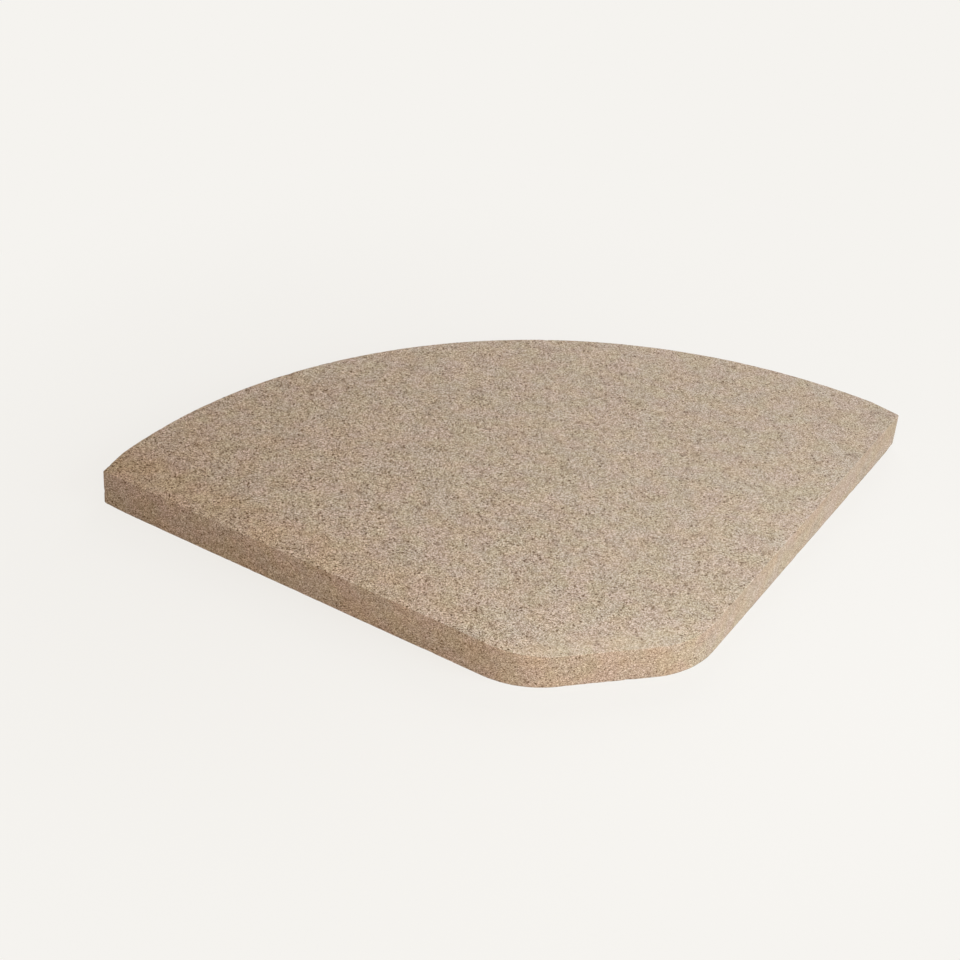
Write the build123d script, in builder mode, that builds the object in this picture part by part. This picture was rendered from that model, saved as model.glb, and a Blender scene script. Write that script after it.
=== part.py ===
"""Stove baffle: one flat plate of pressed vermiculite board, lying flat.

The plate is a quarter-round slab. Two straight sides run together at a square
corner that is cut off to a short straight nose with large rounded shoulders, and
a wide circular edge closes the other end. The curve stops just short of each tip,
where a small straight flat joins it to the side.

Millimetres. The origin is on the underside, at the centre of the plate's outline
box. +X runs from tip to tip, +Y from the nose to the curved edge, +Z is up.
"""

import os
from math import cos, radians, sin, tan

from build123d import *

# Driving dimensions
board_thickness = 20.0
tip_span = 430.0  # from tip to tip, across the widest place
corner_angle = 90.0  # between the two straight sides
nose_width = 86.0  # the cut across the corner, before its ends are rounded
nose_radius = 46.0  # where the nose turns into the sides
curve_rise = 88.7  # of the wide curved edge, above its own two ends
tip_flat_length = 18.0  # straight flat between the curve and each tip
tip_flat_angle = 54.0  # of that flat, from the line through both tips
eased_edge = 0.8  # radius of the blunted arrises

# Heights along Y, counted from the line through both tips
half_span = tip_span / 2
half_nose = nose_width / 2
half_corner = radians(corner_angle / 2)
nose_below_tips = (half_span - half_nose) / tan(half_corner)
curve_end_x = half_span - tip_flat_length * cos(radians(tip_flat_angle))
curve_end_above_tips = tip_flat_length * sin(radians(tip_flat_angle))
crown_above_tips = curve_end_above_tips + curve_rise

# Places in the plate's own frame
plate_depth = nose_below_tips + crown_above_tips
nose_y = -plate_depth / 2
crown_y = plate_depth / 2
tip_y = crown_y - crown_above_tips
curve_end_y = tip_y + curve_end_above_tips

with BuildPart() as baffle_plate:
    with BuildSketch() as outline:
        with BuildLine():
            Polyline(
                (-curve_end_x, curve_end_y),
                (-half_span, tip_y),
                (-half_nose, nose_y),
                (half_nose, nose_y),
                (half_span, tip_y),
                (curve_end_x, curve_end_y),
            )
            ThreePointArc(
                (curve_end_x, curve_end_y),
                (0, crown_y),
                (-curve_end_x, curve_end_y),
            )
        make_face()
        fillet(outline.vertices().group_by(Axis.Y)[0], nose_radius)
    extrude(amount=board_thickness)

    # Sawn arrises are blunt: both rims and the upright edge at each tip
    uprights = baffle_plate.edges().filter_by(Axis.Z).sort_by(Axis.X)
    rims = baffle_plate.edges().filter_by(Axis.Z, reverse=True)
    fillet(rims + [uprights[0], uprights[-1]], eased_edge)

baffle_plate.part.label = "baffle_plate"

os.makedirs("parts", exist_ok=True)
export_step(baffle_plate.part, "parts/baffle_plate.step")
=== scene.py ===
"""Looks of the stove baffle: one flat plate of pressed vermiculite board on a pale studio floor.

The plate is one closed mesh that stands for the solid plate. Its two faces are grids fitted to the
outline, and a profile carried along that outline makes the rim: the worn upper arris, the sawn side
and the lower arris. Pits and grain are pressed into the board, never out of it, so the plate keeps
the solid's box. Metres throughout, in the solid's own frame.
"""

from math import asin, cos, pi, radians, sin, sqrt

import bpy
import numpy as np
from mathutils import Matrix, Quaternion, Vector


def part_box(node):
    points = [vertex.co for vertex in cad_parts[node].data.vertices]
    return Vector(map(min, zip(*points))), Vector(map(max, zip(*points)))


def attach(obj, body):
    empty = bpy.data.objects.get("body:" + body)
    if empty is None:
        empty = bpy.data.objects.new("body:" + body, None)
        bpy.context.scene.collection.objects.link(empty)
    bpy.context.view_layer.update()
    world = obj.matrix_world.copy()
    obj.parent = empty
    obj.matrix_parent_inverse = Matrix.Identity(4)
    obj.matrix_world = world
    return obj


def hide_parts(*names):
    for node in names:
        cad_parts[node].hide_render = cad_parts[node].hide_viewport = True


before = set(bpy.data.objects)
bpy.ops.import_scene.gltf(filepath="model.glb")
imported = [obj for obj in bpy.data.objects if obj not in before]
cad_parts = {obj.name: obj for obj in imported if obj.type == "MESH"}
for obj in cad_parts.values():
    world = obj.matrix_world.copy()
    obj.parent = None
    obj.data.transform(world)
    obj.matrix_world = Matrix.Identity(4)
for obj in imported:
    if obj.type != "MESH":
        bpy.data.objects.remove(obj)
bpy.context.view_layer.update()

MM = 0.001

# The board, from the frame
board_low, board_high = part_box("baffle_plate")
UNDERSIDE = board_low.z
TOP = board_high.z
THICKNESS = TOP - UNDERSIDE
NOSE_Y = board_low.y
CROWN_Y = board_high.y

# The outline before its corners are rounded
TIP_SPAN = 430 * MM
NOSE_WIDTH = 86 * MM
NOSE_RADIUS = 46 * MM  # where the nose turns into the two straight sides
TIP_FLAT_LENGTH = 18 * MM  # straight flat between the curve and each tip
TIP_FLAT_ANGLE = radians(54)  # of that flat, from the line through both tips
TIP_RADIUS = 0.8 * MM
HALF_SPAN = TIP_SPAN / 2
HALF_NOSE = NOSE_WIDTH / 2
TIP_Y = NOSE_Y + HALF_SPAN - HALF_NOSE  # the sides run at 45 degrees
CURVE_END_X = HALF_SPAN - TIP_FLAT_LENGTH * cos(TIP_FLAT_ANGLE)
CURVE_END_Y = TIP_Y + TIP_FLAT_LENGTH * sin(TIP_FLAT_ANGLE)
CURVE_RISE = CROWN_Y - CURVE_END_Y
CURVE_RADIUS = (CURVE_END_X**2 + CURVE_RISE**2) / (2 * CURVE_RISE)

# The middle of the plate, as far from both straight sides as from the crown
MIDDLE_Y = (TIP_Y - HALF_SPAN + CROWN_Y * sqrt(2)) / (1 + sqrt(2))
MIDDLE = np.array([0, MIDDLE_Y])
REACH = CROWN_Y - MIDDLE_Y

# How finely the mesh is divided
TOP_RINGS = 120
UNDERSIDE_RINGS = TOP_RINGS // 2
COLUMNS = 8 * TOP_RINGS
OUTLINE_STEP = 0.1 * MM
CORNER_STEPS = 48
CURVE_STEPS = 400
TIP_CROWDING = 3.0  # extra columns per length at a tip
TIP_CROWDING_REACH = 4 * MM
RIM_WIDTH = 3.0 * MM  # from the outline in to the grid of a face
LAND_ROWS = 2
ARRIS_ROWS = 5
SIDE_ROWS = 12

# Wear of the arrises: the rounding, how much softer it gets in places, the chips, and more at each tip
UPPER_ARRIS = {
    "radius": 0.2 * MM,
    "spread": 0.25 * MM,
    "chip_depth": 0.5 * MM,
    "left_tip_wear": 0.2 * MM,
    "right_tip_wear": 0.5 * MM,
}
LOWER_ARRIS = {
    "radius": 0.15 * MM,
    "spread": 0.2 * MM,
    "chip_depth": 0.4 * MM,
    "left_tip_wear": 1.2 * MM,
    "right_tip_wear": 1.4 * MM,
}
ARRIS_CELL = 6 * MM  # along the edge, from one soft place to the next
CHIP_CELL = 3.2 * MM
CHIP_START = 0.8  # the level of the noise above which the edge is chipped
TIP_WEAR_REACH = 9 * MM

# Wear and painted light: a rubbed-down nose, painted shade in brown by the left side and in grey at both
# tips and the upper right side, a painted light strip along the nose, and painted floor bounce at the
# foot of the right side
NOSE_WEAR = 1.7 * MM
NOSE_WEAR_REACH = 20 * MM  # from the nose edge back to where the top is level
PAINTED_LIGHT_STRIP_WIDTH = (2 * MM, 20 * MM)  # from the nose edge, to where the painted light strip fades and is gone
PAINTED_LIGHT_STRIP_HALF_LENGTH = (20 * MM, 60 * MM)  # the same to either side of the nose's middle
BAND_WIDTH = (18 * MM, 30 * MM)  # the same for the band of brown painted shade, from the left side
BAND_LENGTH = (180 * MM, 225 * MM)  # and along that side, from the left tip
BAND_SHARE = 0.35  # of the brown painted shade that is the band, the rest being round the tip
PAINTED_SHADE_REACH = 70 * MM  # from a tip, to where the painted shade round it is down to half
LEFT_TIP_SHADE_REACH = 25 * MM  # the same for the grey painted shade at the left tip
RIGHT_SIDE_DEPTH = (1 * MM, 6 * MM)  # behind the right side, to where its painted shade and painted bounce light fade and are gone
RIGHT_SIDE_PAINTED_SHADE = 0.7  # of grey painted shade, at its upper edge

# Relief of the surface
COARSE_CELL = 2.4 * MM
COARSE_DEPTH = 0.10 * MM
FINE_CELL = 1.3 * MM
FINE_DEPTH = 0.07 * MM
PIT_CELL = 5.5 * MM
SMALLEST_PIT = 0.7 * MM
LARGEST_PIT = 1.7 * MM
LONGEST_PIT = 2.6  # the longest pit's length, over its width
PIT_DEPTH = 0.45 * MM
SIDE_RELIEF = 0.4  # of the relief on the two faces
LATTICE = 48  # cells in a repeat of the random lattice
SEED = 2026

# The bake map's islands, as parts of the unit square
ISLAND_GAP = 0.01
TOP_ISLAND = 0.74
SIDE_STRIPS = 3

# Camera, found from the photograph's outline
CAMERA_AIM = Vector((-20.63 * MM, 30.46 * MM, 0))
CAMERA_DISTANCE = 1058.04 * MM
CAMERA_AZIMUTH = -15.797
CAMERA_ELEVATION = 34.365
CAMERA_ROLL = 4.775
CAMERA_LENS = 75.577
SENSOR_WIDTH = 36

# Light
LAMPS = {  # azimuth, elevation, distance, size, watts, tint
    "front_softbox": (-15, 35, 0.75, 0.5, 2.25, (1, 0.93, 0.86)),
    "right_softbox": (45, 33, 0.75, 0.5, 5.0, (0.83, 0.93, 1)),
    "back_softbox": (150, 35, 0.9, 0.6, 4.15, (0.95, 0.96, 1)),
}
WORLD_FILL = (0.246, 0.193, 0.162, 1)
PAPER_WHITE = (0.913, 0.896, 0.863, 1)
FLOOR_COLOUR = (0.9, 0.89, 0.86, 1)
FLOOR_SEEN = (0.77, 0.755, 0.725, 1)  # to the camera, so that the lit floor is no brighter than the paper
FLOOR_HALF_WIDTH = 8
NEAR_PAPER_SHARE = 0.85  # of the paper white beside the plate, the rest being the floor as lit
PAPER_NEAR = 0.12
PAPER_FAR = 0.4

rng = np.random.default_rng(SEED)


def rounded_corner(before, corner, after, radius):
    """Points of the arc that touches both runs at a corner, with the outline turning left.

    Its centre lies on the corner's bisector, radius / sin(half angle) from the corner, and its ends
    lie radius / tan(half angle) along each run.
    """
    to_before = (before - corner) / np.linalg.norm(before - corner)
    to_after = (after - corner) / np.linalg.norm(after - corner)
    bisector = (to_before + to_after) / np.linalg.norm(to_before + to_after)
    half_angle = np.arccos(to_before @ bisector)
    centre = corner + bisector * radius / np.sin(half_angle)
    first = corner + to_before * radius / np.tan(half_angle) - centre
    turn = pi - 2 * half_angle
    angles = np.arctan2(first[1], first[0]) + turn * np.linspace(0, 1, CORNER_STEPS)
    return centre + radius * np.stack([np.cos(angles), np.sin(angles)], 1)


def plate_outline():
    """The plate's outline as COLUMNS points, anticlockwise from the middle of the nose.

    Straight runs, rounded corners and one circular arc are joined, then points are spread along them
    by length, closer together at the two tips.
    """
    flip = np.array([-1, 1])
    nose_middle = np.array([[0, NOSE_Y]])
    nose = np.array([HALF_NOSE, NOSE_Y])
    tip = np.array([HALF_SPAN, TIP_Y])
    curve_end = np.array([CURVE_END_X, CURVE_END_Y])
    half_sweep = asin(CURVE_END_X / CURVE_RADIUS)
    sweep = np.linspace(half_sweep, -half_sweep, CURVE_STEPS)
    curve_centre = np.array([0, CROWN_Y - CURVE_RADIUS])
    curve = curve_centre + CURVE_RADIUS * np.stack([np.sin(sweep), np.cos(sweep)], 1)
    points = np.concatenate(
        [
            nose_middle,
            rounded_corner(nose * flip, nose, tip, NOSE_RADIUS),
            rounded_corner(nose, tip, curve_end, TIP_RADIUS),
            curve,
            rounded_corner(curve_end * flip, tip * flip, nose * flip, TIP_RADIUS),
            rounded_corner(tip * flip, nose * flip, nose, NOSE_RADIUS),
            nose_middle,
        ]
    )
    along = np.concatenate([[0], np.cumsum(np.linalg.norm(np.diff(points, axis=0), axis=1))])
    even = np.arange(0, along[-1], OUTLINE_STEP)
    fine = np.stack([np.interp(even, along, points[:, axis]) for axis in range(2)], 1)
    to_tips = [np.linalg.norm(fine - place, axis=1) for place in (tip, tip * flip)]
    crowding = 1 + TIP_CROWDING * np.exp(-((np.minimum(*to_tips) / TIP_CROWDING_REACH) ** 2))
    weight = np.concatenate([[0], np.cumsum(crowding)])
    wanted = np.arange(COLUMNS) * weight[-1] / COLUMNS
    closed = np.concatenate([fine, fine[:1]])
    return np.stack([np.interp(wanted, weight, closed[:, axis]) for axis in range(2)], 1)


def lattice_noise(points, cell):
    """Smooth noise from 0 to 1: random values at the corners of a lattice, eased between them."""
    lattice = rng.random((LATTICE, LATTICE, LATTICE))
    scaled = points / cell
    base = np.floor(scaled).astype(int)
    part = scaled - base
    eased = part * part * (3 - 2 * part)
    total = np.zeros(len(points))
    for corner in np.ndindex(2, 2, 2):
        share = np.prod(np.where(corner, eased, 1 - eased), axis=1)
        x, y, z = ((base + corner) % LATTICE).T
        total += share * lattice[x, y, z]
    return total


def pits(points):
    """Depth of the small hollows at each point, from 0 to 1.

    One hollow lies somewhere in each cell of a lattice: a ball with its own radius, drawn out along
    its own level direction. The depth is 1 at its middle and falls off as a parabola to 0 at its skin.
    """
    shape = (LATTICE, LATTICE, LATTICE)
    places = rng.random((*shape, 3))
    radii = SMALLEST_PIT + (LARGEST_PIT - SMALLEST_PIT) * rng.random(shape) ** 2
    lengths = 1 + (LONGEST_PIT - 1) * rng.random(shape) ** 2
    headings = pi * rng.random(shape)
    base = np.floor(points / PIT_CELL).astype(int)
    deepest = np.zeros(len(points))
    for step in np.ndindex(3, 3, 3):
        cell = base + np.array(step) - 1
        x, y, z = (cell % LATTICE).T
        away = points - (cell + places[x, y, z]) * PIT_CELL
        turn = headings[x, y, z]
        lengthwise = (away[:, 0] * np.cos(turn) + away[:, 1] * np.sin(turn)) / lengths[x, y, z]
        crosswise = away[:, 1] * np.cos(turn) - away[:, 0] * np.sin(turn)
        apart_squared = lengthwise**2 + crosswise**2 + away[:, 2] ** 2
        deepest = np.maximum(deepest, 1 - apart_squared / radii[x, y, z] ** 2)
    return deepest


def face_grid(rings):
    """A square grid of steps from -rings to rings: the ring of each point, and its place on that ring.

    The ring is the larger of a point's two steps, over the number of rings. The place runs from 0 to
    1 anticlockwise round the square, from the middle of its lower side.
    """
    across, up = np.meshgrid(np.arange(-rings, rings + 1), np.arange(-rings, rings + 1))
    ring = np.maximum(np.abs(across), np.abs(up))
    span = 8 * np.maximum(ring, 1)
    place = np.select(
        [up == -ring, across == ring, up == ring],
        [across / span, 1 / 4 + up / span, 1 / 2 - across / span],
        3 / 4 - up / span,
    )
    return (ring / rings).ravel(), place.ravel() % 1


def fitted_face(rings, outline):
    """Plan points of a face: each ring of the square grid is the outline, drawn in to the middle."""
    ring, place = face_grid(rings)
    columns = np.arange(COLUMNS + 1) / COLUMNS
    closed = np.concatenate([outline, outline[:1]])
    rim = np.stack([np.interp(place, columns, closed[:, axis]) for axis in range(2)], 1)
    return MIDDLE + (rim - MIDDLE) * (1 - RIM_WIDTH / REACH) * ring[:, None]


def face_triangles(rings):
    """Two triangles to each square of the grid, cut along the diagonal that points to the middle."""
    width = 2 * rings + 1
    index = np.arange(width * width).reshape(width, width)
    a, b = index[:-1, :-1].ravel(), index[:-1, 1:].ravel()
    d, c = index[1:, :-1].ravel(), index[1:, 1:].ravel()
    row, column = np.divmod(np.arange(len(a)), 2 * rings)
    rising = ((row < rings) == (column < rings))[:, None]
    first = np.where(rising, np.stack([a, b, c], 1), np.stack([a, b, d], 1))
    second = np.where(rising, np.stack([a, c, d], 1), np.stack([b, c, d], 1))
    return np.concatenate([first, second])


def face_rim(rings):
    """Indices of the grid's outermost points, anticlockwise from the middle of the lower side."""
    ring, place = face_grid(rings)
    outermost = np.flatnonzero(ring == 1)
    return outermost[np.argsort(place[outermost])]


def worn_arris(outline, height, arris):
    """Radius of an arris at each column: a thin rounding, softer in places, with a few chips.

    Each tip adds its own wear, which falls off with distance as a bell curve.
    """
    points = np.column_stack([outline, np.full(COLUMNS, height)])
    soft = lattice_noise(points, ARRIS_CELL)
    chip = np.clip(lattice_noise(points, CHIP_CELL) - CHIP_START, 0, None) / (1 - CHIP_START)
    radius = arris["radius"] + arris["spread"] * soft + arris["chip_depth"] * chip
    for tip_x, wear in ((-HALF_SPAN, arris["left_tip_wear"]), (HALF_SPAN, arris["right_tip_wear"])):
        away = np.linalg.norm(outline - np.array([tip_x, TIP_Y]), axis=1)
        radius += wear * np.exp(-((away / TIP_WEAR_REACH) ** 2))
    return radius


def nose_wear(points):
    """How far each point sinks at the rubbed-down nose.

    The top sinks as a parabola that starts level and is deepest at the nose edge. Points below it
    sink by their share of the board's height, so the underside stays flat.
    """
    worn = np.clip(1 - (points[:, 1] - NOSE_Y) / NOSE_WEAR_REACH, 0, None) ** 2
    return NOSE_WEAR * worn * (points[:, 2] - UNDERSIDE) / THICKNESS


def fade_out(distance, start, end):
    """1 up to the start and 0 past the end, eased between them."""
    remaining = np.clip((end - distance) / (end - start), 0, 1)
    return remaining * remaining * (3 - 2 * remaining)


def painted_light_marks(points, facing_up, upright):
    """How much painted light and shade the board carries at each point, each from 0 to 1.

    On the top, a band of brown painted shade runs along the left side and fades out across its width
    and towards the nose. More brown painted shade lies round the left tip, and grey painted shade
    round both tips, each halving with its reach. A strip of painted light runs along the nose and
    fades out behind it and towards both ends. On the right side, painted shade grows with the square
    of a point's height, and painted floor bounce light, paler and bluer, grows towards its foot.
    """
    from_left = points[:, :2] - np.array([-HALF_SPAN, TIP_Y])
    from_right = points[:, :2] - np.array([HALF_SPAN, TIP_Y])
    behind_left_side = (from_left[:, 0] + from_left[:, 1]) / sqrt(2)
    along_left_side = (from_left[:, 0] - from_left[:, 1]) / sqrt(2)
    # Painted shade in brown: a darker, warmer band along the left side of the top
    band = fade_out(behind_left_side, *BAND_WIDTH) * fade_out(along_left_side, *BAND_LENGTH)
    to_left = np.linalg.norm(from_left, axis=1)
    to_right = np.linalg.norm(from_right, axis=1)
    # More brown painted shade round the left tip, halving with its reach
    brown_shade_at_tip = 0.5 ** (to_left / PAINTED_SHADE_REACH)
    # Painted shade in grey: darkening round both tips, halving with its reach
    shade_at_tips = 0.5 ** np.minimum(to_left / LEFT_TIP_SHADE_REACH, to_right / PAINTED_SHADE_REACH)
    # Painted light: a paler strip along the nose, fading out behind it and towards both ends
    strip = fade_out(points[:, 1] - NOSE_Y, *PAINTED_LIGHT_STRIP_WIDTH)
    # On the right side: painted shade growing towards its upper edge, and painted floor bounce light,
    # paler and bluer, towards its foot
    behind_right_side = (from_right[:, 1] - from_right[:, 0]) / sqrt(2)
    right_side = upright * fade_out(behind_right_side, *RIGHT_SIDE_DEPTH)
    height = (points[:, 2] - UNDERSIDE) / THICKNESS
    return {
        "brown_painted_shade": facing_up * (BAND_SHARE * band + (1 - BAND_SHARE) * brown_shade_at_tip),
        "grey_painted_shade": facing_up * shade_at_tips + right_side * RIGHT_SIDE_PAINTED_SHADE * height**2,
        "painted_light_strip": facing_up * strip * fade_out(np.abs(points[:, 0]), *PAINTED_LIGHT_STRIP_HALF_LENGTH),
        "painted_bounce_light": right_side * (1 - height),
    }


def rim_profile(upper, lower):
    """The rim's section at each column, row by row from the top face down to the underside.

    Each row has its inset from the outline, its height, and its normal's tilt above the level. A land
    runs in level from each face, an arris is a quarter circle of its own radius, and the side between
    them is upright.
    """
    land = (np.arange(LAND_ROWS, 0, -1) / (LAND_ROWS + 1))[:, None]
    turn = np.linspace(pi / 2, 0, ARRIS_ROWS)[:, None]
    rise = (np.arange(SIDE_ROWS, 0, -1) / (SIDE_ROWS + 1))[:, None]
    flat = np.zeros((LAND_ROWS, COLUMNS))
    upright = np.zeros((SIDE_ROWS, COLUMNS))
    inset = [
        upper + land * (RIM_WIDTH - upper),
        upper * (1 - np.cos(turn)),
        upright,
        lower * (1 - np.cos(turn[::-1])),
        lower + land[::-1] * (RIM_WIDTH - lower),
    ]
    height = [
        TOP + flat,
        TOP - upper * (1 - np.sin(turn)),
        UNDERSIDE + lower + rise * (THICKNESS - upper - lower),
        UNDERSIDE + lower * (1 - np.sin(turn[::-1])),
        UNDERSIDE + flat,
    ]
    tilt = [flat + pi / 2, turn + 0 * upper, upright, -turn[::-1] + 0 * lower, flat - pi / 2]
    return np.concatenate(inset), np.concatenate(height), np.concatenate(tilt)


def plate_points():
    """Every point of the plate, worn and pressed in by the relief, with its pit depth and painted light
    marks.

    The order is the top face, the rim row by row, then the underside. Each point moves along its own
    normal into the board, by coarse grain plus fine grain plus pits, and sinks by the nose's wear.
    """
    outline = plate_outline()
    upper = worn_arris(outline, TOP, UPPER_ARRIS)
    lower = worn_arris(outline, UNDERSIDE, LOWER_ARRIS)
    inset, height, tilt = rim_profile(upper, lower)
    rim_plan = MIDDLE + (outline - MIDDLE) * (1 - inset / REACH)[..., None]
    rim = np.concatenate([rim_plan, height[..., None]], -1).reshape(-1, 3)
    rim_inward = (MIDDLE - outline) / REACH * np.cos(tilt)[..., None]
    rim_push = np.concatenate([rim_inward, -np.sin(tilt)[..., None]], -1).reshape(-1, 3)

    top_plan = fitted_face(TOP_RINGS, outline)
    under_plan = fitted_face(UNDERSIDE_RINGS, outline)
    top = np.column_stack([top_plan, np.full(len(top_plan), TOP)])
    under = np.column_stack([under_plan, np.full(len(under_plan), UNDERSIDE)])
    down = np.array([0, 0, -1])
    push = np.concatenate([np.tile(down, (len(top), 1)), rim_push, np.tile(-down, (len(under), 1))])
    points = np.concatenate([top, rim, under])

    pit = pits(points)
    depth = lattice_noise(points, COARSE_CELL) * COARSE_DEPTH
    depth += lattice_noise(points, FINE_CELL) * FINE_DEPTH
    depth += pit * PIT_DEPTH
    upright_share = 1 - np.abs(push[:, 2])
    depth *= 1 + (SIDE_RELIEF - 1) * upright_share
    marks = {"pit": pit, **painted_light_marks(points, np.clip(-push[:, 2], 0, 1), upright_share)}
    sunk = np.outer(nose_wear(points), down)
    return points + push * depth[:, None] + sunk, marks


def strip_triangles(upper_row, lower_row):
    """Two triangles to each square between two rings with as many points, facing outwards."""
    next_upper = np.roll(upper_row, -1)
    next_lower = np.roll(lower_row, -1)
    first = np.stack([upper_row, lower_row, next_lower], 1)
    second = np.stack([upper_row, next_lower, next_upper], 1)
    return np.concatenate([first, second])


def stitch_triangles(fine_row, coarse_row):
    """Three triangles to each coarse step where a ring meets one with half as many points."""
    even = fine_row[0::2]
    odd = fine_row[1::2]
    next_even = np.roll(even, -1)
    next_coarse = np.roll(coarse_row, -1)
    first = np.stack([even, coarse_row, odd], 1)
    second = np.stack([odd, coarse_row, next_coarse], 1)
    third = np.stack([odd, next_coarse, next_even], 1)
    return np.concatenate([first, second, third])


def plate_triangles():
    """The plate's triangles in three lots: those of the top, of the sawn side and of the underside.

    The top's lot takes in its land and the arris down to the side, and the underside's likewise.
    """
    top_count = (2 * TOP_RINGS + 1) ** 2
    rows = 2 * LAND_ROWS + 2 * ARRIS_ROWS + SIDE_ROWS
    rim_rows = top_count + np.arange(rows * COLUMNS).reshape(rows, COLUMNS)
    under_start = top_count + rows * COLUMNS
    rings = [face_rim(TOP_RINGS), *rim_rows]
    bands = [strip_triangles(upper, lower) for upper, lower in zip(rings, rings[1:])]
    bands.append(stitch_triangles(rings[-1], under_start + face_rim(UNDERSIDE_RINGS)))
    face_bands = LAND_ROWS + ARRIS_ROWS
    top = np.concatenate([face_triangles(TOP_RINGS), *bands[:face_bands]])
    side = np.concatenate(bands[face_bands:-face_bands])
    under_face = under_start + face_triangles(UNDERSIDE_RINGS)[:, ::-1]
    under = np.concatenate([*bands[-face_bands:], under_face])
    return top, side, under


def bake_map(points, top, side, under):
    """Where each triangle corner lies in the unit square.

    Both faces are laid flat and turned by 45 degrees, so that the straight sides follow the square.
    The side is unrolled column by column into level strips, one above the other.
    """
    turned = np.stack([points[:, 0] + points[:, 1], points[:, 1] - points[:, 0]], 1)
    turned -= turned.min(0)
    turned /= turned.max()
    under_island = 1 - TOP_ISLAND - 3 * ISLAND_GAP
    top_place = np.array([ISLAND_GAP, 1 - ISLAND_GAP - TOP_ISLAND])
    under_place = np.array([TOP_ISLAND + 2 * ISLAND_GAP, 1 - ISLAND_GAP - under_island])
    top_corners = top_place + turned[top] * TOP_ISLAND
    under_corners = under_place + turned[under] * under_island

    column = (side - (2 * TOP_RINGS + 1) ** 2) % COLUMNS
    over_seam = np.ptp(column, axis=1, keepdims=True) > COLUMNS // 2
    column = np.where(over_seam & (column < COLUMNS // 2), column + COLUMNS, column)
    strip_columns = COLUMNS // SIDE_STRIPS
    strip = column.min(1, keepdims=True) // strip_columns
    strip_pitch = (top_place[1] - ISLAND_GAP) / SIDE_STRIPS
    across = ISLAND_GAP + (column / strip_columns - strip) * (1 - 2 * ISLAND_GAP)
    rise = (points[side, 2] - UNDERSIDE) / THICKNESS
    up = ISLAND_GAP + strip * strip_pitch + rise * (strip_pitch - ISLAND_GAP)
    side_corners = np.stack([across, up], -1)
    return np.concatenate([top_corners, side_corners, under_corners]).reshape(-1, 2)


def make_plate(pressed_face, sawn_side):
    """Put the points, triangles, bake map, pits, painted light and shade marks and finishes into one
    object.
    """
    points, marks = plate_points()
    top, side, under = plate_triangles()
    triangles = np.concatenate([top, side, under])
    mesh = bpy.data.meshes.new("vermiculite_plate")
    mesh.from_pydata(points, [], triangles.tolist())
    finish = np.repeat([0, 1, 0], [len(top), len(side), len(under)])
    mesh.polygons.foreach_set("material_index", finish.astype(np.int32))
    mesh.polygons.foreach_set("use_smooth", np.ones(len(triangles), bool))
    for name, values in marks.items():
        attribute = mesh.attributes.new(name, "FLOAT", "POINT")
        attribute.data.foreach_set("value", values.astype(np.float32))
    corners = bake_map(points, top, side, under).astype(np.float32)
    mesh.uv_layers.new(name="OFBake").uv.foreach_set("vector", corners.ravel())
    mesh.materials.append(pressed_face)
    mesh.materials.append(sawn_side)
    mesh.update()
    plate = bpy.data.objects.new("vermiculite_plate", mesh)
    bpy.context.scene.collection.objects.link(plate)
    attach(plate, "root")
    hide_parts("baffle_plate")
    return plate


def node(tree, kind, inputs, **settings):
    """Add one node: settings are its own properties, and each input is a link or a plain value."""
    made = tree.nodes.new(kind)
    for name, setting in settings.items():
        setattr(made, name, setting)
    for name, value in inputs.items():
        if isinstance(value, bpy.types.NodeSocket):
            tree.links.new(value, made.inputs[name])
        else:
            made.inputs[name].default_value = value
    return made


def maths(tree, operation, first, second=0.0, third=0.0):
    """One sum on values, such as first times second."""
    return node(tree, "ShaderNodeMath", {0: first, 1: second, 2: third}, operation=operation).outputs[0]


def spread(tree, value, low, high, to_low=0.0, to_high=1.0):
    """Ease a value between two limits, smoothly, and hold it outside them."""
    inputs = {"Value": value, "From Min": low, "From Max": high, "To Min": to_low, "To Max": to_high}
    return node(tree, "ShaderNodeMapRange", inputs, interpolation_type="SMOOTHSTEP").outputs["Result"]


def blend_colours(tree, share, first, second, how="MIX"):
    """Two colours mixed by a share from 0 to 1."""
    inputs = {"Factor": share, 6: first, 7: second}
    return node(tree, "ShaderNodeMix", inputs, data_type="RGBA", blend_type=how).outputs[2]


def new_group(name, inputs, outputs):
    """A shader node group with those named sockets: the group, what comes in and what goes out."""
    group = bpy.data.node_groups.new(name, "ShaderNodeTree")
    for label, kind in inputs.items():
        group.interface.new_socket(label, in_out="INPUT", socket_type=kind)
    for label in outputs:
        group.interface.new_socket(label, in_out="OUTPUT", socket_type="NodeSocketFloat")
    return group, group.nodes.new("NodeGroupInput").outputs, group.nodes.new("NodeGroupOutput").inputs


NOISE_DETAIL = 1
NOISE_MIDDLE = (0.5, 0.5, 0.5)


def crooked(tree, place, size, pitch, reach):
    """Coordinates pushed about by noise, so that cells come out crooked.

    The noise's pitch and the push's reach are shares of the size.
    """
    scale = maths(tree, "DIVIDE", 1 / pitch, size)
    wavy = {"Vector": place, "Scale": scale, "Detail": NOISE_DETAIL}
    noise = node(tree, "ShaderNodeTexNoise", wavy)
    both_ways = {0: noise.outputs["Color"], 1: NOISE_MIDDLE}
    centred = node(tree, "ShaderNodeVectorMath", both_ways, operation="SUBTRACT").outputs[0]
    push = {0: centred, "Scale": maths(tree, "MULTIPLY", size, reach)}
    pushed = node(tree, "ShaderNodeVectorMath", push, operation="SCALE").outputs[0]
    return node(tree, "ShaderNodeVectorMath", {0: place, 1: pushed}, operation="ADD").outputs[0]


# Flake grain, in shares of a flake's size
FLAKE_CROOK_PITCH = 1.7
FLAKE_CROOK = 1.0
GRIT_SIZE = 0.5
GRIT_LIMITS = (0.3, 0.7)
FLAKE_HEIGHT = 0.4
DOME_HEIGHT = 0.3
GRIT_HEIGHT = 0.3


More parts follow.
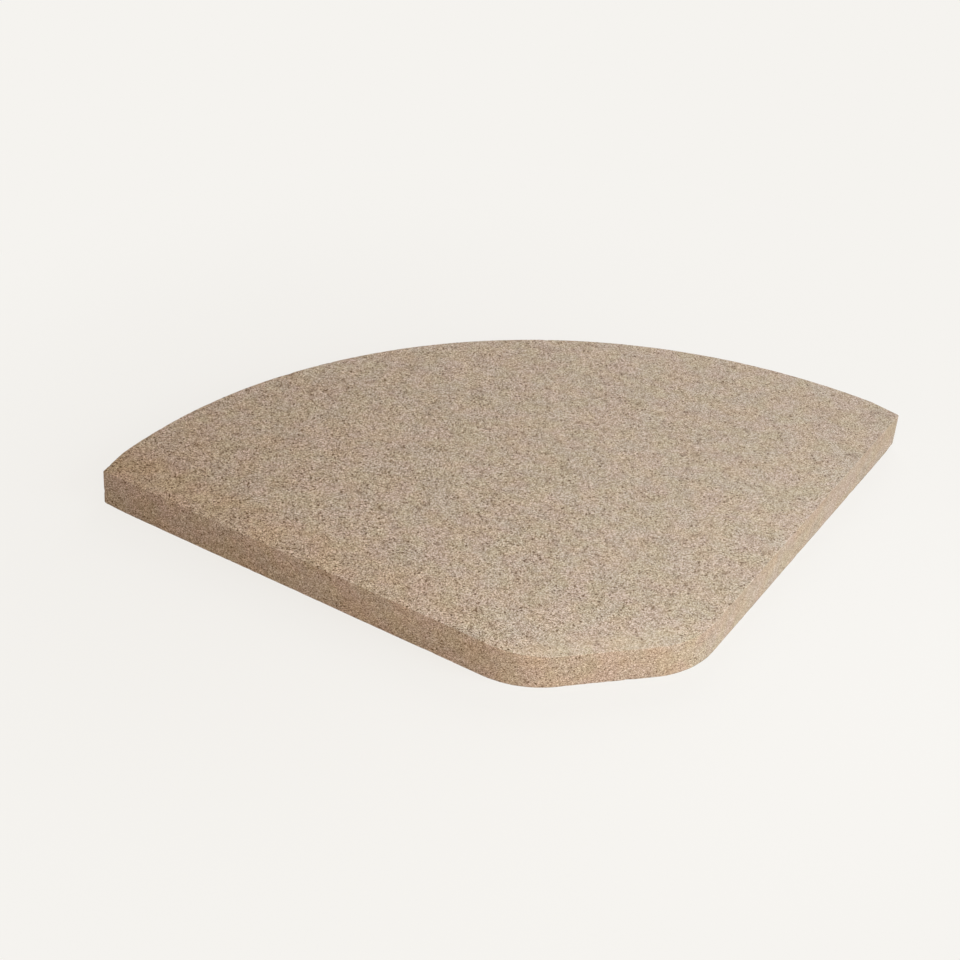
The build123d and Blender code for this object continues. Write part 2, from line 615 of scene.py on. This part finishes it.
def flake_grain_group():
    """Pressed flakes: crooked cells, each with its own tone, tint and gloss, and grit over them.

    The flakes are the cells of a three-way Voronoi pattern whose coordinates are pushed about by
    noise. The height adds each flake's own level, its dome and the grit.
    """
    sockets = {"Coordinates": "NodeSocketVector", "Flake Size": "NodeSocketFloat"}
    group, given, out = new_group("flake_grain", sockets, ["Tone", "Tint", "Gloss", "Grit", "Height"])
    place, size = given["Coordinates"], given["Flake Size"]
    bent = crooked(group, place, size, FLAKE_CROOK_PITCH, FLAKE_CROOK)
    flake_scale = maths(group, "DIVIDE", 1, size)
    flakes = node(group, "ShaderNodeTexVoronoi", {"Vector": bent, "Scale": flake_scale})
    own = node(group, "ShaderNodeSeparateColor", {"Color": flakes.outputs["Color"]})
    grit_scale = maths(group, "DIVIDE", 1 / GRIT_SIZE, size)
    gritty = {"Vector": place, "Scale": grit_scale, "Detail": NOISE_DETAIL}
    noise = node(group, "ShaderNodeTexNoise", gritty)
    grit = spread(group, noise.outputs["Fac"], *GRIT_LIMITS)
    level = maths(group, "MULTIPLY", own.outputs["Blue"], FLAKE_HEIGHT)
    domed = maths(group, "MULTIPLY_ADD", flakes.outputs["Distance"], -DOME_HEIGHT, level)
    group.links.new(grit, out["Grit"])
    group.links.new(maths(group, "MULTIPLY_ADD", grit, GRIT_HEIGHT, domed), out["Height"])
    for label, part in (("Tone", "Red"), ("Tint", "Green"), ("Gloss", "Blue")):
        group.links.new(own.outputs[part], out[label])
    return group


# Dark specks, in shares of a speck's size
SPECK_PITCH = 2.0
SPECK_CROOK_PITCH = 0.8
SPECK_CROOK = 1.2
SPECK_EDGE = (0.2, 0.32)


def dark_specks_group():
    """Dark specks: crooked spots on a share of the cells of a Voronoi pattern, as a mask from 0 to 1."""
    kinds = ["NodeSocketVector", "NodeSocketFloat", "NodeSocketFloat"]
    sockets = dict(zip(["Coordinates", "Speck Size", "Share"], kinds))
    group, given, out = new_group("dark_specks", sockets, ["Mask"])
    size = given["Speck Size"]
    bent = crooked(group, given["Coordinates"], size, SPECK_CROOK_PITCH, SPECK_CROOK)
    scale = maths(group, "DIVIDE", 1 / SPECK_PITCH, size)
    cells = node(group, "ShaderNodeTexVoronoi", {"Vector": bent, "Scale": scale})
    own = node(group, "ShaderNodeSeparateColor", {"Color": cells.outputs["Color"]})
    chosen = maths(group, "LESS_THAN", own.outputs["Red"], given["Share"])
    spot = spread(group, cells.outputs["Distance"], *SPECK_EDGE, 1, 0)
    group.links.new(maths(group, "MULTIPLY", spot, chosen), out["Mask"])
    return group


DRIFT_LIMITS = (0.36, 0.64)
DRIFT_DETAIL = 2


def slow_drift_group():
    """Slow drift of colour across the board: how rosy and how straw-coloured, each from 0 to 1."""
    sockets = {"Coordinates": "NodeSocketVector", "Patch Size": "NodeSocketFloat"}
    group, given, out = new_group("slow_drift", sockets, ["Rosy", "Straw"])
    scale = maths(group, "DIVIDE", 1, given["Patch Size"])
    broad = {"Vector": given["Coordinates"], "Scale": scale, "Detail": DRIFT_DETAIL}
    patches = node(group, "ShaderNodeTexNoise", broad).outputs["Color"]
    parts = node(group, "ShaderNodeSeparateColor", {"Color": patches}).outputs
    group.links.new(spread(group, parts["Red"], *DRIFT_LIMITS), out["Rosy"])
    group.links.new(spread(group, parts["Green"], *DRIFT_LIMITS), out["Straw"])
    return group


def mark(tree, name):
    """The value that the mesh carries at each point under that name."""
    return node(tree, "ShaderNodeAttribute", {}, attribute_name=name).outputs["Fac"]


def shades(tree, value, stops):
    """A colour ramp through those (position, colour) stops."""
    ramp = node(tree, "ShaderNodeValToRGB", {"Fac": value})
    elements = ramp.color_ramp.elements
    for element, (position, colour) in zip(elements, (stops[0], stops[-1])):
        element.position = position
        element.color = (*colour, 1)
    for position, colour in stops[1:-1]:
        elements.new(position).color = (*colour, 1)
    return ramp.outputs["Color"]


PRESSED_FACE = {
    "name": "pressed_face",
    "flakes": [
        (0.00, (0.086, 0.038, 0.010)),
        (0.10, (0.180, 0.117, 0.066)),
        (0.28, (0.336, 0.256, 0.179)),
        (0.60, (0.490, 0.400, 0.306)),
        (0.86, (0.669, 0.573, 0.461)),
        (1.00, (0.807, 0.712, 0.592)),
    ],
    "flake_size": 0.48 * MM,
    "flake_flatness": 1.4,
    "speck_size": 1.05 * MM,
    "speck_share": 0.24,
    "pit_shade_strength": 0.45,
    "bump_depth": 0.14 * MM,
}
SAWN_SIDE = {
    "name": "sawn_side",
    "flakes": [
        (0.00, (0.118, 0.069, 0.034)),
        (0.10, (0.178, 0.113, 0.066)),
        (0.28, (0.306, 0.215, 0.143)),
        (0.60, (0.421, 0.315, 0.225)),
        (0.86, (0.589, 0.465, 0.354)),
        (1.00, (0.770, 0.632, 0.498)),
    ],
    "flake_size": 0.42 * MM,
    "flake_flatness": 1.2,
    "speck_size": 0.8 * MM,
    "speck_share": 0.15,
    "pit_shade_strength": 0.15,
    "bump_depth": 0.07 * MM,
}
PATCH_SIZE = 13 * MM
GRIT_SHARE = 0.12  # of a flake's tone that is grit
MIDDLE_TONE = 0.5
GRAIN_STRENGTH = (1.18, 0.87)  # at the left tip and at the right tip, which is smoother
PAINTED_LIGHT_STRIP_SMOOTHING = 0.3  # of the grain's strength that is lost on the painted light strip along the nose
GOLDEN = (1.01, 1.0, 0.96, 1)
GOLDEN_FROM = 0.8
ROSY = (1.02, 0.993, 1.0, 1)
OLIVE = (0.98, 1.007, 1.0, 1)
STRAW = (1.0, 1.0, 0.955, 1)
LILAC = (1.0, 1.0, 1.045, 1)
# Tints of the painted shade (brown and grey), of the painted light strip along the nose, and of the
# painted floor bounce on the right side
PAINTED_LIGHT_TINTS = {
    "brown_painted_shade": (0.93, 0.81, 0.68, 1),
    "grey_painted_shade": (0.90, 0.90, 0.90, 1),
    "painted_light_strip": (1.09, 1.10, 1.11, 1),
    "painted_bounce_light": (1.00, 1.05, 1.12, 1),
}
SPECK_AND_PIT_SHADE_BROWN = (0.080, 0.032, 0.006, 1)
SPECK_STRENGTH = 0.85
MATT = 0.9
SHINY = 0.55
SHINY_FROM = 0.8
SPECULAR = 0.25


def grain_strength(tree, place):
    """How strong the grain is: less from the left tip to the right one, and on the painted light strip.
    """
    across = node(tree, "ShaderNodeSeparateXYZ", {"Vector": place}).outputs["X"]
    sharpness = spread(tree, across, -HALF_SPAN, HALF_SPAN, *GRAIN_STRENGTH)
    kept = maths(tree, "MULTIPLY_ADD", mark(tree, "painted_light_strip"), -PAINTED_LIGHT_STRIP_SMOOTHING, 1)
    return maths(tree, "MULTIPLY", sharpness, kept)


def flake_tone(tree, grain, strength):
    """Each flake's tone with its share of grit, drawn to the middle tone where the grain is weak."""
    tone = maths(tree, "MULTIPLY", grain["Tone"], 1 - GRIT_SHARE)
    tone = maths(tree, "MULTIPLY_ADD", grain["Grit"], GRIT_SHARE, tone)
    off_middle = maths(tree, "SUBTRACT", tone, MIDDLE_TONE)
    return maths(tree, "MULTIPLY_ADD", off_middle, strength, MIDDLE_TONE)


def tinted(tree, colour, grain, drift):
    """A flake colour under the tints of golden flakes, slow drift, and painted light and shade."""
    golden = maths(tree, "GREATER_THAN", grain["Tint"], GOLDEN_FROM)
    colour = blend_colours(tree, golden, colour, GOLDEN, "MULTIPLY")
    for share, without, fully in ((drift["Rosy"], OLIVE, ROSY), (drift["Straw"], LILAC, STRAW)):
        tint = blend_colours(tree, share, without, fully)
        colour = blend_colours(tree, 1, colour, tint, "MULTIPLY")
    # Painted light and shade laid over the flake colours, each by its own mark on the mesh
    for painted_mark, tint in PAINTED_LIGHT_TINTS.items():
        colour = blend_colours(tree, mark(tree, painted_mark), colour, tint, "MULTIPLY")
    return colour


def board_finish(groups, finish):
    """One finish of the board, on Object coordinates.

    Flake tones pick colours from a ramp. Tints with painted light and shade, dark specks, and
    pits darkened by dust and painted shade are laid over them in turn.
    """
    material = bpy.data.materials.new(finish["name"])
    material.use_nodes = True
    tree = material.node_tree
    shader = tree.nodes["Principled BSDF"]
    shader.inputs["Specular IOR Level"].default_value = SPECULAR
    place = node(tree, "ShaderNodeTexCoord", {}).outputs["Object"]
    flattened = {"Vector": place, "Scale": (1, 1, finish["flake_flatness"])}
    flat = node(tree, "ShaderNodeMapping", flattened).outputs[0]
    sizes = {
        "flake_grain": {"Coordinates": flat, "Flake Size": finish["flake_size"]},
        "dark_specks": {"Speck Size": finish["speck_size"], "Share": finish["speck_share"]},
        "slow_drift": {"Patch Size": PATCH_SIZE},
    }
    grain, specks, drift = (
        node(tree, "ShaderNodeGroup", {"Coordinates": place, **own_sizes}, node_tree=groups[name]).outputs
        for name, own_sizes in sizes.items()
    )
    strength = grain_strength(tree, place)
    colour = shades(tree, flake_tone(tree, grain, strength), finish["flakes"])
    colour = tinted(tree, colour, grain, drift)
    speck = maths(tree, "MULTIPLY", specks["Mask"], maths(tree, "MULTIPLY", strength, SPECK_STRENGTH))
    colour = blend_colours(tree, speck, colour, SPECK_AND_PIT_SHADE_BROWN)
    # Dust and painted shade: each pit darkened towards its middle with the speck brown
    pit = maths(tree, "MULTIPLY", mark(tree, "pit"), finish["pit_shade_strength"])
    colour = blend_colours(tree, pit, colour, SPECK_AND_PIT_SHADE_BROWN)
    tree.links.new(colour, shader.inputs["Base Color"])
    tree.links.new(spread(tree, grain["Gloss"], SHINY_FROM, 1, MATT, SHINY), shader.inputs["Roughness"])
    bump = node(tree, "ShaderNodeBump", {"Height": grain["Height"], "Distance": finish["bump_depth"]})
    tree.links.new(bump.outputs["Normal"], shader.inputs["Normal"])
    return material


def studio_floor():
    """A wide pale floor: plain to the light, and nearly even paper white to the camera."""
    mesh = bpy.data.meshes.new("studio_floor")
    half = FLOOR_HALF_WIDTH
    corners = np.array([[-half, -half, 0], [half, -half, 0], [half, half, 0], [-half, half, 0]])
    mesh.from_pydata(corners, [], [(0, 1, 2, 3)])
    floor = bpy.data.objects.new("studio_floor", mesh)
    bpy.context.scene.collection.objects.link(floor)
    material = bpy.data.materials.new("studio_paper")
    material.use_nodes = True
    tree = material.node_tree
    tree.nodes.remove(tree.nodes["Principled BSDF"])
    seen = seen_directly(tree)
    tint = blend_colours(tree, seen, FLOOR_COLOUR, FLOOR_SEEN)
    paper = node(tree, "ShaderNodeBsdfDiffuse", {"Color": tint})
    glow = node(tree, "ShaderNodeEmission", {"Color": PAPER_WHITE})
    place = node(tree, "ShaderNodeTexCoord", {}).outputs["Object"]
    away = node(tree, "ShaderNodeVectorMath", {0: place}, operation="LENGTH").outputs["Value"]
    even = spread(tree, away, PAPER_NEAR, PAPER_FAR, NEAR_PAPER_SHARE, 1)
    share = maths(tree, "MULTIPLY", even, seen)
    mixed = node(tree, "ShaderNodeMixShader", {0: share, 1: paper.outputs[0], 2: glow.outputs[0]})
    tree.links.new(mixed.outputs[0], tree.nodes["Material Output"].inputs["Surface"])
    mesh.materials.append(material)


def seen_directly(tree):
    """1 for rays from the camera or by way of a mirror or glass, and 0 for rays that carry light."""
    path = node(tree, "ShaderNodeLightPath", {}).outputs
    mirrored = maths(tree, "MAXIMUM", path["Is Glossy Ray"], path["Is Transmission Ray"])
    return maths(tree, "MAXIMUM", path["Is Camera Ray"], mirrored)


def studio_world():
    """Paper white to the camera, and a weak warm fill to everything else."""
    world = bpy.data.worlds.new("studio_world")
    world.use_nodes = True
    bpy.context.scene.world = world
    tree = world.node_tree
    fill = tree.nodes["Background"]
    fill.inputs["Color"].default_value = WORLD_FILL
    fill.inputs["Strength"].default_value = 1
    backdrop = node(tree, "ShaderNodeBackground", {"Color": PAPER_WHITE, "Strength": 1})
    both = {0: seen_directly(tree), 1: fill.outputs[0], 2: backdrop.outputs[0]}
    mixed = node(tree, "ShaderNodeMixShader", both)
    tree.links.new(mixed.outputs[0], tree.nodes["World Output"].inputs["Surface"])


def bearing(azimuth, elevation):
    """The unit direction at that azimuth, counted from the nose's side, and elevation, in degrees."""
    a, e = radians(azimuth), radians(elevation)
    return Vector((sin(a) * cos(e), -cos(a) * cos(e), sin(e)))


def add_softbox(name, azimuth, elevation, distance, size, watts, tint):
    """A round soft lamp that looks at the plate's origin and isn't seen itself."""
    lamp = bpy.data.lights.new(name, "AREA")
    lamp.shape = "DISK"
    lamp.size = size
    lamp.energy = watts
    lamp.color = tint
    holder = bpy.data.objects.new(name, lamp)
    bpy.context.scene.collection.objects.link(holder)
    towards = bearing(azimuth, elevation)
    holder.location = towards * distance
    holder.rotation_euler = towards.to_track_quat("Z", "Y").to_euler()
    holder.visible_camera = False


def add_camera():
    """The photograph's viewpoint: a place round the aim, a look at it, and a small roll."""
    camera = bpy.data.cameras.new("camera")
    camera.sensor_width = SENSOR_WIDTH
    camera.lens = CAMERA_LENS
    holder = bpy.data.objects.new("camera", camera)
    bpy.context.scene.collection.objects.link(holder)
    back = bearing(CAMERA_AZIMUTH, CAMERA_ELEVATION)
    holder.location = CAMERA_AIM + back * CAMERA_DISTANCE
    holder.rotation_mode = "QUATERNION"
    roll = Quaternion((0, 0, 1), radians(CAMERA_ROLL))
    holder.rotation_quaternion = (-back).to_track_quat("-Z", "Y") @ roll
    bpy.context.scene.camera = holder


groups = {made.name: made for made in (flake_grain_group(), dark_specks_group(), slow_drift_group())}
pressed_face = board_finish(groups, PRESSED_FACE)
sawn_side = board_finish(groups, SAWN_SIDE)
make_plate(pressed_face, sawn_side)
studio_floor()
studio_world()
for lamp_name, lamp_values in LAMPS.items():
    add_softbox(lamp_name, *lamp_values)
add_camera()
bpy.context.scene.view_settings.view_transform = "Standard"
